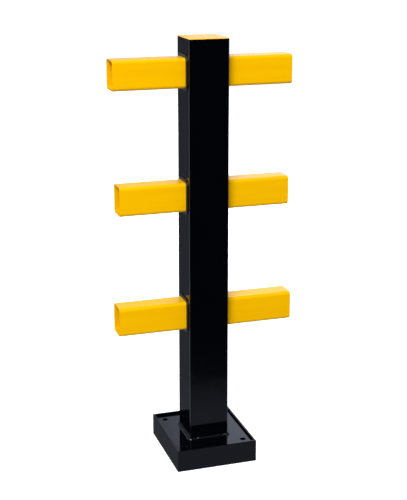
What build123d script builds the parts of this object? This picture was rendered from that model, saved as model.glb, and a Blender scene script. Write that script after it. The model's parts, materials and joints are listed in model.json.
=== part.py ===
"""Steel barrier bollard: a square post on a sprung foot, with three rails that run through it.

Millimetres. +Z is up, the rails run along X, and the rails' lock screws are on the rear, at +Y.
The origin is on the post's axis, on the underside of the base.
"""
import os

from build123d import *

# Post: cold-formed square tube
POST_WIDTH = 100.0
POST_WALL = 4.0
POST_CORNER = 4.5
POST_TOP = 1057.0

# Base: an open steel box, a floor plate and the post's own plate hung inside it on four buffers
BASE_WIDTH = 205.0  # along X
BASE_DEPTH = 231.0  # along Y
BASE_HEIGHT = 55.5
BASE_WALL = 5.0
FLOOR_THICKNESS = 8.0
PLATE_THICKNESS = 8.0
PLATE_RECESS = 6.0  # from the rim down to the plate
PLATE_GAP = 3.0  # between the plate and the walls, so that it can tilt
PLATE_CORNER = 3.0
WALL_EDGE_BREAK = 0.8
PLATE_EDGE_BREAK = 0.6
ANCHOR_SPACING_X = 155.0
ANCHOR_SPACING_Y = 171.0
ANCHOR_HOLE_RADIUS = 7.0
WELD_LEG = 5.5
WELD_TOP_LEDGE = 0.3  # what the bead still stands proud of the post at its upper toe

# Elastomer buffers: blocks bonded between the floor plate and the post's plate, round the anchors
BUFFER_SIZE = 56.0
BUFFER_CORNER = 8.0
BUFFER_X = 66.0
BUFFER_Y = 79.0
BUFFER_BORE_RADIUS = 8.0

# Top cap
CAP_LIP = 1.5
CAP_EDGE_RADIUS = 0.8
CAP_PLUG_LENGTH = 18.0
CAP_PLUG_GAP = 0.4
CAP_PLUG_WALL = 2.5
CAP_RIB_WIDTH = 2.0
CAP_RIB_SPACING = 30.0

# Rails: rectangular tube; each entry is the height of its centre line and its two ends along X
RAIL_DEPTH = 58.0
RAIL_HEIGHT = 72.0
RAIL_WALL = 4.0
RAIL_CORNER = 8.0
RAIL_EDGE_BREAK = 0.5  # round both rims of each cut end
RAIL_PITCH = 302.0
RAIL_LOWEST = 372.0
RAILS = {
    "lower": (RAIL_LOWEST, -223.0, 223.5),
    "middle": (RAIL_LOWEST + RAIL_PITCH, -217.5, 213.0),
    "upper": (RAIL_LOWEST + 2 * RAIL_PITCH, -230.0, 218.0),
}
RAIL_TRAVEL = 25.0  # each way from the middle of the lock slot

# Grommets: the plastic collars that line the post's windows
GROMMET_CLEARANCE = 0.5
GROMMET_SLEEVE = 3.0
GROMMET_FIT = 0.2  # between the sleeve and the window
GROMMET_FLANGE_WIDTH = 7.0
GROMMET_FLANGE_THICKNESS = 3.5
GROMMET_EDGE_RADIUS = 1.4
GROMMET_DEPTH = 12.0
BARB_LENGTH = 24.0
BARB_HEIGHT = 1.5
BARB_THICKNESS = 2.5

# Lock screws: M8 x 30 button heads through the rear wall into weld nuts
SCREW_RADIUS = 4.0
SCREW_LENGTH = 30.0
SCREW_HEAD_RADIUS = 7.0
SCREW_HEAD_HEIGHT = 4.4
SCREW_HEAD_ROUND = 3.0
SOCKET_ACROSS_FLATS = 5.0
SOCKET_DEPTH = 2.6
SCREW_HOLE_RADIUS = 4.5
WASHER_RADIUS = 8.0
WASHER_THICKNESS = 1.6
NUT_ACROSS_FLATS = 13.0
NUT_THICKNESS = 6.5
NUT_BORE_RADIUS = 4.05
SLOT_CLEARANCE = 0.5

# Worked out from the above
PLATE_TOP = BASE_HEIGHT - PLATE_RECESS
PLATE_BOTTOM = PLATE_TOP - PLATE_THICKNESS
INNER_WIDTH = BASE_WIDTH - 2 * BASE_WALL
INNER_DEPTH = BASE_DEPTH - 2 * BASE_WALL
REAR_FACE = POST_WIDTH / 2
SIDE_FACE = POST_WIDTH / 2
POST_INSIDE = POST_WIDTH - 2 * POST_WALL
WINDOW_MARGIN = GROMMET_CLEARANCE + GROMMET_SLEEVE + GROMMET_FIT
SLOT_WIDTH = 2 * (SCREW_RADIUS + SLOT_CLEARANCE)
SLOT_LENGTH = 2 * RAIL_TRAVEL + SLOT_WIDTH


def anchor_holes(bottom, top, radius=ANCHOR_HOLE_RADIUS):
    """Four cutters on the floor anchors' rectangle."""
    spots = GridLocations(ANCHOR_SPACING_X, ANCHOR_SPACING_Y, 2, 2)
    discs = Sketch() + spots * Circle(radius)
    return extrude(Plane.XY.offset(bottom) * discs, top - bottom)


def rail_section(margin):
    """The rail's outline, across its length, grown by margin all round."""
    return Plane.YZ * RectangleRounded(RAIL_DEPTH + 2 * margin, RAIL_HEIGHT + 2 * margin, RAIL_CORNER + margin)


def base_floor():
    slab = Pos(Z=FLOOR_THICKNESS / 2) * Box(INNER_WIDTH, INNER_DEPTH, FLOOR_THICKNESS)
    return slab - anchor_holes(0, FLOOR_THICKNESS)


def base_wall(length, offset, angle):
    """One mitred flat bar of the base's frame, its outer face at offset from the axis."""
    half = length / 2
    outline = make_face(Polyline(
        (-half, -offset),
        (half, -offset),
        (half - BASE_WALL, -offset + BASE_WALL),
        (-half + BASE_WALL, -offset + BASE_WALL),
        close=True,
    ))
    bar = extrude(outline, BASE_HEIGHT)
    rim = bar.edges().group_by(Axis.Z)[-1].filter_by(Axis.X)
    outer_foot = bar.edges().group_by(Axis.Z)[0].sort_by(Axis.Y)[0]
    bar = chamfer(rim + [outer_foot], WALL_EDGE_BREAK)
    return Rot(Z=angle) * bar


def buffer(x, y):
    """An elastomer block between the floor plate and the post's plate, bored for its anchor."""
    outline = Plane.XY.offset(FLOOR_THICKNESS) * Pos(x, y) * RectangleRounded(
        BUFFER_SIZE, BUFFER_SIZE, BUFFER_CORNER)
    block = extrude(outline, PLATE_BOTTOM - FLOOR_THICKNESS)
    return block - anchor_holes(FLOOR_THICKNESS, PLATE_BOTTOM, BUFFER_BORE_RADIUS)


def base_plate():
    size = (INNER_WIDTH - 2 * PLATE_GAP, INNER_DEPTH - 2 * PLATE_GAP)
    outline = Plane.XY.offset(PLATE_BOTTOM) * RectangleRounded(*size, PLATE_CORNER)
    plate = extrude(outline, PLATE_THICKNESS) - anchor_holes(PLATE_BOTTOM, PLATE_TOP)
    return chamfer(plate.edges().group_by(Axis.Z)[-1], PLATE_EDGE_BREAK)


def foot_weld():
    """The fillet bead around the post's foot."""
    def ring(width):
        grown = (width - POST_WIDTH) / 2
        return RectangleRounded(width, width, POST_CORNER + grown)

    toe = Plane.XY.offset(PLATE_TOP) * ring(POST_WIDTH + 2 * WELD_LEG)
    crest = Plane.XY.offset(PLATE_TOP + WELD_LEG) * ring(POST_WIDTH + 2 * WELD_TOP_LEDGE)
    post = Plane.XY.offset(PLATE_TOP) * RectangleRounded(POST_WIDTH, POST_WIDTH, POST_CORNER)
    return loft([toe, crest]) - extrude(post, WELD_LEG)


def post_tube():
    foot = Plane.XY.offset(PLATE_TOP)
    outside = RectangleRounded(POST_WIDTH, POST_WIDTH, POST_CORNER)
    inside = RectangleRounded(POST_INSIDE, POST_INSIDE, POST_CORNER - POST_WALL)
    tube = extrude(foot * (outside - inside), POST_TOP - PLATE_TOP)
    window = extrude(rail_section(WINDOW_MARGIN), POST_WIDTH, both=True)
    screw_hole = Pos(Y=REAR_FACE) * Rot(X=90) * Cylinder(SCREW_HOLE_RADIUS, 4 * POST_WALL)
    for height, _, _ in RAILS.values():
        tube -= Pos(Z=height) * window
        tube -= Pos(Z=height) * screw_hole
    return tube


def top_cap():
    """A push-in cap: a flat lip over the tube and a ribbed plug inside it."""
    lip = extrude(Plane.XY.offset(POST_TOP) * RectangleRounded(POST_WIDTH, POST_WIDTH, POST_CORNER), CAP_LIP)
    lip = fillet(lip.edges().group_by(Axis.Z)[-1], CAP_EDGE_RADIUS)
    plug_width = POST_INSIDE - 2 * CAP_PLUG_GAP
    hollow_width = plug_width - 2 * CAP_PLUG_WALL
    plug = Rectangle(plug_width, plug_width) - Rectangle(hollow_width, hollow_width)
    rib = Pos(X=plug_width / 2) * Rectangle(2 * CAP_PLUG_GAP, CAP_RIB_WIDTH)
    for angle in range(0, 360, 90):
        for offset in (-CAP_RIB_SPACING, 0, CAP_RIB_SPACING):
            plug += Rot(Z=angle) * Pos(Y=offset) * rib
    return lip + extrude(Plane.XY.offset(POST_TOP - CAP_PLUG_LENGTH) * plug, CAP_PLUG_LENGTH)


def grommet(height, side):
    """A collar in one window: a flange outside, a sleeve through the wall, and barbs behind it."""
    flange = rail_section(GROMMET_CLEARANCE + GROMMET_FLANGE_WIDTH)
    sleeve = rail_section(GROMMET_CLEARANCE + GROMMET_SLEEVE)
    collar = Pos(X=SIDE_FACE) * extrude(flange, GROMMET_FLANGE_THICKNESS)
    collar = fillet(collar.edges().group_by(Axis.X)[-1], GROMMET_EDGE_RADIUS)
    collar += Pos(X=SIDE_FACE - GROMMET_DEPTH) * extrude(sleeve, GROMMET_DEPTH)
    barb_reach = 2 * (WINDOW_MARGIN + BARB_HEIGHT)
    barbs = Box(BARB_THICKNESS, BARB_LENGTH, RAIL_HEIGHT + barb_reach)
    barbs += Box(BARB_THICKNESS, RAIL_DEPTH + barb_reach, BARB_LENGTH)
    collar += Pos(X=SIDE_FACE - POST_WALL - BARB_THICKNESS / 2) * barbs
    collar -= extrude(rail_section(GROMMET_CLEARANCE), POST_WIDTH)
    return Pos(Z=height) * (collar if side == "right" else mirror(collar, Plane.YZ))


def rail(height, left_end, right_end):
    """A rectangular tube with a lock slot in the middle of its rear wall."""
    length = right_end - left_end
    tube = extrude(rail_section(0) - rail_section(-RAIL_WALL), length / 2, both=True)
    rims = tube.edges().group_by(Axis.X)
    tube = chamfer(rims[0] + rims[-1], RAIL_EDGE_BREAK)
    slot = Plane.XZ.offset(-RAIL_DEPTH / 2) * SlotOverall(SLOT_LENGTH, SLOT_WIDTH)
    tube -= extrude(slot, RAIL_WALL + SLOT_CLEARANCE, both=True)
    return Pos((left_end + right_end) / 2, 0, height) * tube


def lock_screw(height):
    """A button head screw, seated on its washer, with its tip in the rail's slot."""
    head = Cylinder(SCREW_HEAD_RADIUS, SCREW_HEAD_HEIGHT, align=(Align.CENTER, Align.CENTER, Align.MIN))
    head = fillet(head.edges().group_by(Axis.Z)[-1], SCREW_HEAD_ROUND)
    socket = RegularPolygon(SOCKET_ACROSS_FLATS / 2, 6, major_radius=False)
    head -= Pos(Z=SCREW_HEAD_HEIGHT - SOCKET_DEPTH) * extrude(socket, SOCKET_DEPTH)
    shank = Cylinder(SCREW_RADIUS, SCREW_LENGTH, align=(Align.CENTER, Align.CENTER, Align.MAX))
    seat = REAR_FACE + WASHER_THICKNESS
    return Pos(0, seat, height) * Rot(X=-90) * (head + shank)


def lock_washer(height):
    disc = Cylinder(WASHER_RADIUS, WASHER_THICKNESS) - Cylinder(SCREW_HOLE_RADIUS, WASHER_THICKNESS)
    return Pos(0, REAR_FACE + WASHER_THICKNESS / 2, height) * Rot(X=90) * disc


def lock_nut(height):
    """A hexagonal weld nut on the inside of the rear wall."""
    outline = RegularPolygon(NUT_ACROSS_FLATS / 2, 6, major_radius=False) - Circle(NUT_BORE_RADIUS)
    nut = extrude(outline, NUT_THICKNESS)
    return Pos(0, REAR_FACE - POST_WALL, height) * Rot(X=90) * nut


def all_nodes():
    nodes = {
        "base_floor": base_floor(),
        "base_wall_front": base_wall(BASE_WIDTH, BASE_DEPTH / 2, 0),
        "base_wall_right": base_wall(BASE_DEPTH, BASE_WIDTH / 2, 90),
        "base_wall_rear": base_wall(BASE_WIDTH, BASE_DEPTH / 2, 180),
        "base_wall_left": base_wall(BASE_DEPTH, BASE_WIDTH / 2, 270),
        "base_plate": base_plate(),
        "foot_weld": foot_weld(),
        "post_tube": post_tube(),
        "top_cap": top_cap(),
    }
    for end, y in (("front", -BUFFER_Y), ("rear", BUFFER_Y)):
        for side, x in (("left", -BUFFER_X), ("right", BUFFER_X)):
            nodes[f"buffer_{end}_{side}"] = buffer(x, y)
    heights = [entry[0] for entry in RAILS.values()]
    for name, (height, left_end, right_end) in RAILS.items():
        nodes[f"{name}_rail"] = rail(height, left_end, right_end)
        for side in ("left", "right"):
            nodes[f"{name}_{side}_grommet"] = grommet(height, side)
    nodes["lock_screws"] = Compound([lock_screw(height) for height in heights])
    nodes["lock_washers"] = Compound([lock_washer(height) for height in heights])
    nodes["lock_nuts"] = Compound([lock_nut(height) for height in heights])
    return nodes


os.makedirs("parts", exist_ok=True)
for node, shape in all_nodes().items():
    export_step(shape, f"parts/{node}.step")
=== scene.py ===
"""The steel barrier bollard in a plain studio.

Metres, in the CAD frame: X along the rails, +Z up.
"""
import json
import math

import bmesh
import bpy
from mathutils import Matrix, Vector, noise


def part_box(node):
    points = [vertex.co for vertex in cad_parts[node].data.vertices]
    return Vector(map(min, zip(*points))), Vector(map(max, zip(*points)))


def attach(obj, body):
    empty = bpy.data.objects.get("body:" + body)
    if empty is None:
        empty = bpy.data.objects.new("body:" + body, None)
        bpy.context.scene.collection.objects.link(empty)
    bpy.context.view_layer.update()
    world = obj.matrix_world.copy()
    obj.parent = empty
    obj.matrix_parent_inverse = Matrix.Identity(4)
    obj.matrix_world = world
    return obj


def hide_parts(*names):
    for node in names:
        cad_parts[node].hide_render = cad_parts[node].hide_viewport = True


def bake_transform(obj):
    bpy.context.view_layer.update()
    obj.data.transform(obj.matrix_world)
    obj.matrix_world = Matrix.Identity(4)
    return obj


# Camera: fitted to the photograph
CAMERA_PLACE = (-0.84372, -2.60817, 1.34164)
CAMERA_YAW = math.radians(17.941)  # from +Y towards +X
CAMERA_PITCH = math.radians(-13.504)
CAMERA_LENS = 82.827
CAMERA_SHIFT = -0.12  # the photograph is framed below the lens's axis
CAMERA_SENSOR = 36.0
CAMERA_REACH = 100.0

# Colours, linear
WHITE = (1, 1, 1, 1)
GLOSS_BLACK = (0.0004, 0.0007, 0.0016, 1)
GLOSS_BLACK_DUST = (0.0022, 0.0024, 0.0032, 1)
PLASTIC_BLACK = (0.006, 0.006, 0.0065, 1)
YELLOW = (0.87, 0.468, 0.0, 1)
YELLOW_DEEP = (0.85, 0.440, 0.0, 1)
YELLOW_GLOSS = (1.0, 0.8, 0.1, 1)
ELASTOMER = (0.012, 0.012, 0.012, 1)
ELASTOMER_DUSTY = (0.03, 0.029, 0.028, 1)
BLACK_OXIDE = (0.02, 0.02, 0.022, 1)
BLACK_OXIDE_WORN = (0.06, 0.058, 0.055, 1)
ZINC = (0.6, 0.62, 0.65, 1)
ZINC_DULL = (0.5, 0.5, 0.5, 1)

NOISE_RANGE = (0.3, 0.7)  # what a noise texture mostly stays within
ALONG_RAIL = (18, 1, 1)  # how far the rails' drift in tone is drawn out along each axis

# The studio, as the object's gloss shows it: bright to the left, the right and the rear with two
# darker gaps, and dark on the camera's side. WALLS is above the horizon and fades into CEILING.
# FAR_FLOOR is just below the horizon, and NEAR_FLOOR is below that.
# Each stop is (azimuth in degrees from +Y towards +X, brightness).
WALLS = (
    (-180, 0.05), (-150, 0.05), (-100, 0.6), (-60, 1.0), (-28, 1.0), (-27, 0.02), (-9, 0.02),
    (-4, 1.0), (8, 1.0), (12, 0.35), (16, 0.46), (18.8, 1.0), (95, 1.0), (120, 0.15),
    (150, 0.05), (180, 0.05),
)
FAR_FLOOR = (
    (-180, 0.0), (-72, 0.0), (-52, 1.0), (-30, 1.0), (-22, 0.095), (-10, 0.095), (20, 0.3),
    (60, 0.3), (90, 0.5), (130, 0.1), (150, 0.0), (180, 0.0),
)
NEAR_FLOOR = (
    (-180, 0.29), (-72, 0.29), (-52, 1.0), (-30, 1.0), (-22, 0.11), (-10, 0.11), (20, 0.3),
    (60, 0.3), (90, 0.5), (130, 0.29), (180, 0.29),
)
CEILING = 0.015
GLOSS_TINT = (0.80, 0.88, 1.08, 1)
# Where they meet, as the sine of a direction's elevation
HORIZON = 0.0
NEAR_FLOOR_BELOW = math.sin(math.radians(-23.3))
BAND_EDGE = 0.01  # half of what it takes one band to give way to the next
WALL_FADE = (math.sin(math.radians(35)), math.sin(math.radians(60)))

# Brightness of the world to the camera, and as it lights the object's diffuse colour
WORLD_SEEN = 1.0
WORLD_FILL = 0.55

FLOOR_SIZE = 40.0
FLOOR_BOUNCE = (0.25, 0.25, 0.25, 1)
FLOOR_PALE = (0.9, 0.9, 0.9, 1)
FLOOR_PALER = tuple(1.02 * channel for channel in FLOOR_PALE)
FLOOR_LIFT = 0.55

# Square lights: name, place, what it points at, size, power, whether gloss shows it
LIGHTS = (
    ("key", (-2.8, -3.9, 4.6), (0, 0, 0.55), 3.4, 422.0, True),
    ("top", (0.0, 0.0, 5.0), (0, 0, 0), 3.0, 22.0, False),
    ("rear", (2.4, 4.2, 2.8), (0, 0, 0.55), 3.0, 210.0, False),
)

POST_CORNER = 0.0045

# Weld bead round the post's foot, metres. Each section runs from the post down to the plate, as
# (away from the post, up from the plate) in legs: hollow at the left and right, flat at the front
# and rear.
BEAD_LEG = 0.0055
BEAD_TUCK = 0.0004  # how far it goes into the post and the plate
BEAD_HOLLOW = (
    (0.0, 1.0), (0.02, 0.97), (0.22, 0.68), (0.24, 0.66), (0.39, 0.55), (0.54, 0.44),
    (0.69, 0.33), (0.72, 0.315), (0.86, 0.28), (1.0, 0.245), (1.02, 0.0),
)
BEAD_FLAT = (
    (0.0, 1.0), (0.07, 0.90), (0.16, 0.79), (0.27, 0.67), (0.38, 0.56), (0.50, 0.45),
    (0.62, 0.34), (0.74, 0.23), (0.85, 0.13), (0.94, 0.05), (1.0, 0.0),
)
BEAD_RIPPLE_PITCH = 0.0024
BEAD_RIPPLE_DEPTH = 0.0005
BEAD_RIPPLE_LAG = 0.35  # of a ripple, from the bead's middle to its toes
BEAD_STEPS_PER_RIPPLE = 8
BEAD_LUMPS_PER_METRE = 85.0
BEAD_LUMP_DEPTH = 0.0007
BEAD_CALM = 0.8  # of the ripple and the lumps, taken off at the left and right
# The bead's start and stop: where, in half widths of the post, how proud, and over what length
BEAD_ENDS = ((-1, -1, 0.0010, 0.0055), (1, -0.88, 0.0022, 0.0055))

BUFFER_LAYERS = 10
SHARP_EDGE = math.radians(30)


class Graph:
    """A short way to add and link nodes in one node tree."""

    def __init__(self, tree):
        self.tree = tree

    def add(self, kind, inputs=None, **settings):
        """A new node. Each of its inputs is a value or another node's output."""
        node = self.tree.nodes.new(kind)
        for key, value in settings.items():
            setattr(node, key, value)
        for key, value in (inputs or {}).items():
            self.feed(node.inputs[key], value)
        return node

    def feed(self, socket, value):
        """Links an output to socket, or sets socket to a plain value."""
        if isinstance(value, bpy.types.NodeSocket):
            self.tree.links.new(value, socket)
        else:
            socket.default_value = value

    def spread(self, value, low, high, to_low=0.0, to_high=1.0):
        """value from low..high, mapped to to_low..to_high and clamped there."""
        inputs = {"Value": value, "From Min": low, "From Max": high}
        inputs |= {"To Min": to_low, "To Max": to_high}
        return self.add("ShaderNodeMapRange", inputs).outputs["Result"]

    def mix(self, factor, a, b, kind="FLOAT"):
        """a where factor is 0, b where it is 1."""
        inputs = {"Factor": factor, "A": a, "B": b}
        return self.add("ShaderNodeMix", inputs, data_type=kind).outputs["Result"]

    def mix_colour(self, factor, a, b):
        return self.mix(factor, a, b, kind="RGBA")


class Material(Graph):
    """A material's node tree, with its textures in the object's own coordinates."""

    def __init__(self, name):
        self.material = bpy.data.materials.new(name)
        self.material.use_nodes = True
        super().__init__(self.material.node_tree)
        self.shader = self.tree.nodes["Principled BSDF"]
        self.place = self.add("ShaderNodeTexCoord").outputs["Object"]

    def noise(self, scale, detail, stretch=None):
        """Noise, drawn out along each axis by stretch."""
        place = self.place
        if stretch:
            inputs = {"Vector": place, "Scale": [1 / s for s in stretch]}
            place = self.add("ShaderNodeMapping", inputs).outputs["Vector"]
        inputs = {"Vector": place, "Scale": scale, "Detail": detail}
        return self.add("ShaderNodeTexNoise", inputs).outputs["Fac"]

    def drift(self, scale, detail, low, high):
        """A value that wanders from low to high over the surface."""
        return self.spread(self.noise(scale, detail), *NOISE_RANGE, low, high)

    def bump(self, height, depth, under=None):
        """The normal of a surface of this height, on top of the normal under it."""
        inputs = {"Height": height, "Distance": depth}
        if under is not None:
            inputs["Normal"] = under
        return self.add("ShaderNodeBump", inputs).outputs["Normal"]

    def set(self, **values):
        """Sets the shader's inputs, named with _ for each space."""
        for key, value in values.items():
            self.feed(self.shader.inputs[key.replace("_", " ")], value)


def gloss_black_material():
    """Black gloss powder coat: orange peel over a faint waviness, and fine dust."""
    m = Material("gloss_black_powder_coat")
    dust = m.spread(m.noise(scale=900, detail=1), low=0.68, high=0.76)
    waviness = m.bump(m.noise(scale=16, detail=2), depth=0.00012)
    m.set(
        Base_Color=m.mix_colour(dust, GLOSS_BLACK, GLOSS_BLACK_DUST),
        Roughness=m.drift(scale=7, detail=4, low=0.06, high=0.11),
        Normal=m.bump(m.noise(scale=260, detail=3), depth=0.00003, under=waviness),
    )
    return m.material


def yellow_material(name, roughness, grain, stretch=None):
    """Satin yellow: a slight drift in tone, drawn out by stretch, and a fine surface grain."""
    m = Material(name)
    tone = m.spread(m.noise(scale=70, detail=3, stretch=stretch), low=0.35, high=0.65)
    m.set(
        Base_Color=m.mix_colour(tone, YELLOW, YELLOW_DEEP),
        Roughness=m.drift(scale=40, detail=4, low=roughness - 0.03, high=roughness + 0.04),
        Normal=m.bump(m.noise(scale=grain, detail=3), depth=0.00003),
        Specular_Tint=YELLOW_GLOSS,
    )
    return m.material


def black_plastic_material():
    """Moulded black plastic with a fine texture."""
    m = Material("black_moulded_plastic")
    m.set(
        Base_Color=PLASTIC_BLACK,
        Roughness=m.drift(scale=60, detail=4, low=0.38, high=0.5),
        Normal=m.bump(m.noise(scale=1500, detail=2), depth=0.00004),
    )
    return m.material


def elastomer_material():
    """Matt black rubber, dusty in patches."""
    m = Material("elastomer")
    dusty = m.spread(m.noise(scale=25, detail=5), low=0.4, high=0.7)
    m.set(
        Base_Color=m.mix_colour(dusty, ELASTOMER, ELASTOMER_DUSTY),
        Roughness=m.drift(scale=80, detail=3, low=0.65, high=0.85),
        Normal=m.bump(m.noise(scale=700, detail=4), depth=0.0001),
    )
    return m.material


def fastener_material(name, colour, colour_worn, roughness):
    """Finished steel, worn in patches."""
    m = Material(name)
    worn = m.spread(m.noise(scale=220, detail=5), low=0.4, high=0.7)
    m.set(
        Base_Color=m.mix_colour(worn, colour, colour_worn),
        Metallic=1.0,
        Roughness=m.drift(scale=500, detail=3, low=roughness - 0.06, high=roughness + 0.1),
        Normal=m.bump(m.noise(scale=900, detail=3), depth=0.00003),
    )
    return m.material


def dress(frame):
    """Gives every CAD node its material, and returns the materials by slot."""
    by_slot = {
        "black_paint": gloss_black_material(),
        "yellow_paint": yellow_material(
            "yellow_rail_paint", roughness=0.2, grain=420, stretch=ALONG_RAIL
        ),
        "yellow_plastic": yellow_material("yellow_cap_plastic", roughness=0.24, grain=900),
        "black_plastic": black_plastic_material(),
        "black_steel": fastener_material(
            "black_oxide_steel", BLACK_OXIDE, BLACK_OXIDE_WORN, roughness=0.35
        ),
        "plated_steel": fastener_material("zinc_plated_steel", ZINC, ZINC_DULL, roughness=0.3),
        "elastomer": elastomer_material(),
    }
    slots = {entry["node"]: entry["material_slot"] for entry in frame["record"]["subparts"]}
    for name, node in frame["nodes"].items():
        for slot in node.material_slots:
            slot.material = by_slot[slots[name]]
    return by_slot


def add_object(name, data):
    """A new object in the scene that shows data."""
    thing = bpy.data.objects.new(name, data)
    bpy.context.scene.collection.objects.link(thing)
    return thing


def square_path(half, corner, step):
    """Points and outward directions round a square with rounded corners, in order."""
    flat = half - corner
    straight = round(2 * flat / step)
    turn = round(corner * math.pi / 2 / step)
    path = []
    for side in range(4):
        along = Vector((math.cos(side * math.pi / 2), math.sin(side * math.pi / 2)))
        out = Vector((along.y, -along.x))
        for i in range(straight):
            path.append((out * half + along * (2 * flat * i / straight - flat), out))
        centre = (out + along) * flat
        for i in range(turn):
            angle = math.pi / 2 * i / turn
            direction = out * math.cos(angle) + along * math.sin(angle)
            path.append((centre + direction * corner, direction))
    return path


def bead_section(out, phase, lump, swell):
    """One cross-section of the bead: (away from the post, up from the plate) in metres."""
    sideways = out.x ** 2
    last = len(BEAD_FLAT) - 1
    section = []
    for j, (flat, hollow) in enumerate(zip(BEAD_FLAT, BEAD_HOLLOW)):
        middle = math.sin(math.pi * j / last)
        ripple = (phase + BEAD_RIPPLE_LAG * (2 * j / last - 1) ** 2) % 1.0
        # A ripple rises slowly and drops at its end
        rough = BEAD_RIPPLE_DEPTH * (ripple ** 2 - 0.5) + BEAD_LUMP_DEPTH * lump
        proud = middle * (rough * (1 - BEAD_CALM * sideways) + swell)
        outward = proud * math.sqrt(0.5)  # as much away as up
        away, up = (BEAD_LEG * (f + (h - f) * sideways) for f, h in zip(flat, hollow))
        section.append((away + outward, up + outward))
    section[0] = (-BEAD_TUCK, section[0][1])
    section[-1] = (section[-1][0], -BEAD_TUCK)
    return [(-BEAD_TUCK, -BEAD_TUCK)] + section[::-1]


def bead_mesh(half, base):
    """The bead on a plate at height base, round a post of this half width on the Z axis."""
    path = square_path(half, POST_CORNER, BEAD_RIPPLE_PITCH / BEAD_STEPS_PER_RIPPLE)
    verts, faces = [], []
    travelled = 0.0
    for i, (point, out) in enumerate(path):
        travelled += (point - path[i - 1][0]).length if i else 0.0
        swell = 0.0
        for x, y, height, length in BEAD_ENDS:
            reach = (point - Vector((x * half, y * half))).length / length
            swell += height * math.exp(-(reach ** 2))
        lump = noise.noise(Vector((*point, 0.0)) * BEAD_LUMPS_PER_METRE)
        section = bead_section(out, travelled / BEAD_RIPPLE_PITCH, lump, swell)
        verts += [(*(point + out * away), base + up) for away, up in section]
    count = len(verts) // len(path)
    for i in range(len(path)):
        a, b = i * count, (i + 1) % len(path) * count
        for j in range(count):
            k = (j + 1) % count
            faces.append((a + j, a + k, b + k, b + j))
    mesh = bpy.data.meshes.new("weld_bead")
    mesh.from_pydata(verts, [], faces)
    work = bmesh.new()
    work.from_mesh(mesh)
    bmesh.ops.recalc_face_normals(work, faces=work.faces)
    work.to_mesh(mesh)
    work.free()
    mesh.shade_smooth()
    return mesh


def add_weld_bead(material):
    """A rippled fillet bead round the post's foot, proud at its two ends by the front corners."""
    low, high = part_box("post_tube")
    mesh = bead_mesh((high[0] - low[0]) / 2, low[2])
    mesh.materials.append(material)
    bead = add_object("weld_bead", mesh)
    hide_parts("foot_weld")
    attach(bead, "post")


def add_buffers(frame, material):
    """The elastomer buffers, each cut into layers up its height and standing in for its CAD node.
    """
    for node in sorted(name for name in frame["nodes"] if name.startswith("buffer_")):
        low, high = (Vector(corner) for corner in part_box(node))
        work = bmesh.new()
        work.from_mesh(frame["nodes"][node].data)
        for level in range(1, BUFFER_LAYERS):
            geometry = work.verts[:] + work.edges[:] + work.faces[:]
            cut = low.lerp(high, level / BUFFER_LAYERS)
            bmesh.ops.bisect_plane(work, geom=geometry, plane_co=cut, plane_no=(0, 0, 1))
        mesh = bpy.data.meshes.new("bonded_" + node)
        work.to_mesh(mesh)
        work.free()
        mesh.shade_smooth()
        mesh.set_sharp_from_angle(angle=SHARP_EDGE)
        mesh.materials.clear()
        mesh.materials.append(material)
        piece = add_object("bonded_" + node, mesh)
        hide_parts(node)
        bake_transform(piece)


def add_camera():
    """The camera, as fitted to the photograph."""
    data = bpy.data.cameras.new("camera")
    data.lens = CAMERA_LENS
    data.shift_y = CAMERA_SHIFT
    data.sensor_width = CAMERA_SENSOR
    data.clip_end = CAMERA_REACH
    camera = add_object("camera", data)
    camera.location = CAMERA_PLACE
    camera.rotation_euler = (math.pi / 2 + CAMERA_PITCH, 0, -CAMERA_YAW)
    bpy.context.scene.camera = camera


def floor_material():
    """Pale and lit up to the camera, and grey where it bounces light onto the object."""
    m = Material("studio_floor")
    rays = m.add("ShaderNodeLightPath").outputs
    pale = m.mix_colour(m.noise(scale=3, detail=4), FLOOR_PALE, FLOOR_PALER)
    m.set(
        Base_Color=m.mix_colour(rays["Is Diffuse Ray"], pale, FLOOR_BOUNCE),
        Roughness=m.drift(scale=30, detail=3, low=0.8, high=0.9),
        Specular_IOR_Level=0.0,
        Emission_Color=WHITE,
        Emission_Strength=m.mix(rays["Is Camera Ray"], 0.0, FLOOR_LIFT),
    )
    return m.material


def add_floor():
    """The studio's floor. The object's gloss shows the world's floor bands instead."""
    half = FLOOR_SIZE / 2
    corners = [(-half, -half, 0), (half, -half, 0), (half, half, 0), (-half, half, 0)]
    mesh = bpy.data.meshes.new("floor")
    mesh.from_pydata(corners, [], [(0, 1, 2, 3)])
    mesh.materials.append(floor_material())
    floor = add_object("floor", mesh)
    floor.visible_glossy = False


def add_light(name, place, target, size, power, glossy):
    """A square light at place that points at target."""
    data = bpy.data.lights.new(name, "AREA")
    data.shape = "SQUARE"
    data.size = size
    data.energy = power
    light = add_object(name, data)
    light.location = place
    aim = Vector(target) - Vector(place)
    light.rotation_euler = aim.to_track_quat("-Z", "Y").to_euler()
    light.visible_glossy = glossy


def band(graph, turn, stops):
    """Brightness against azimuth, joined by straight lines. turn is 0..1 for -180..180 degrees."""
    node = graph.add("ShaderNodeValToRGB", {"Fac": turn})
    ramp = node.color_ramp
    while len(ramp.elements) < len(stops):
        ramp.elements.new(0.5)
    for i, (azimuth, _) in enumerate(stops):
        ramp.elements[i].position = (azimuth + 180) / 360
    for element, (_, level) in zip(ramp.elements, stops):
        element.color = (level, level, level, 1)
    return node.outputs["Color"]


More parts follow.
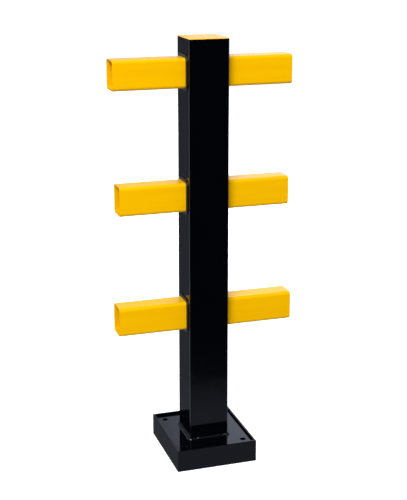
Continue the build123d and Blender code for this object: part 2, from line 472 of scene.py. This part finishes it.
def add_world():
    """The studio round the object: white to the camera, a soft fill, and bands for gloss."""
    world = bpy.data.worlds.new("studio")
    world.use_nodes = True
    bpy.context.scene.world = world
    graph = Graph(world.node_tree)

    direction = graph.add("ShaderNodeTexCoord").outputs["Generated"]
    x, y, z = graph.add("ShaderNodeSeparateXYZ", {"Vector": direction}).outputs
    azimuth = graph.add("ShaderNodeMath", {0: x, 1: y}, operation="ARCTAN2").outputs["Value"]
    turn = graph.spread(azimuth, -math.pi, math.pi)

    walls = graph.mix(graph.spread(z, *WALL_FADE), band(graph, turn, WALLS), CEILING)
    far = graph.spread(z, NEAR_FLOOR_BELOW - BAND_EDGE, NEAR_FLOOR_BELOW + BAND_EDGE)
    floor = graph.mix(far, band(graph, turn, NEAR_FLOOR), band(graph, turn, FAR_FLOOR))
    above = graph.spread(z, HORIZON - BAND_EDGE, HORIZON + BAND_EDGE)
    gloss = graph.mix(above, floor, walls)

    rays = graph.add("ShaderNodeLightPath").outputs
    strength = graph.mix(rays["Is Diffuse Ray"], WORLD_SEEN, WORLD_FILL)
    background = graph.tree.nodes["Background"].inputs
    graph.feed(background["Strength"], graph.mix(rays["Is Glossy Ray"], strength, gloss))
    graph.feed(background["Color"], graph.mix_colour(rays["Is Glossy Ray"], WHITE, GLOSS_TINT))


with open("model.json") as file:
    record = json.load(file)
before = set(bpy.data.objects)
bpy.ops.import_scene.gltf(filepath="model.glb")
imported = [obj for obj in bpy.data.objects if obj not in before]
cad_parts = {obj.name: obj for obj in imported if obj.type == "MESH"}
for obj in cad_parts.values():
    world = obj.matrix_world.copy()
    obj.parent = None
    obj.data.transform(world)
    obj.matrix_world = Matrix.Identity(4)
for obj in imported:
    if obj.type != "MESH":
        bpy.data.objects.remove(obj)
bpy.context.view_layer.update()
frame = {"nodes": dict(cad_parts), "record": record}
materials = dress(frame)
add_weld_bead(materials["black_paint"])
add_buffers(frame, materials["elastomer"])
add_camera()
add_floor()
add_world()
for light in LIGHTS:
    add_light(*light)
bpy.context.scene.view_settings.view_transform = "Standard"
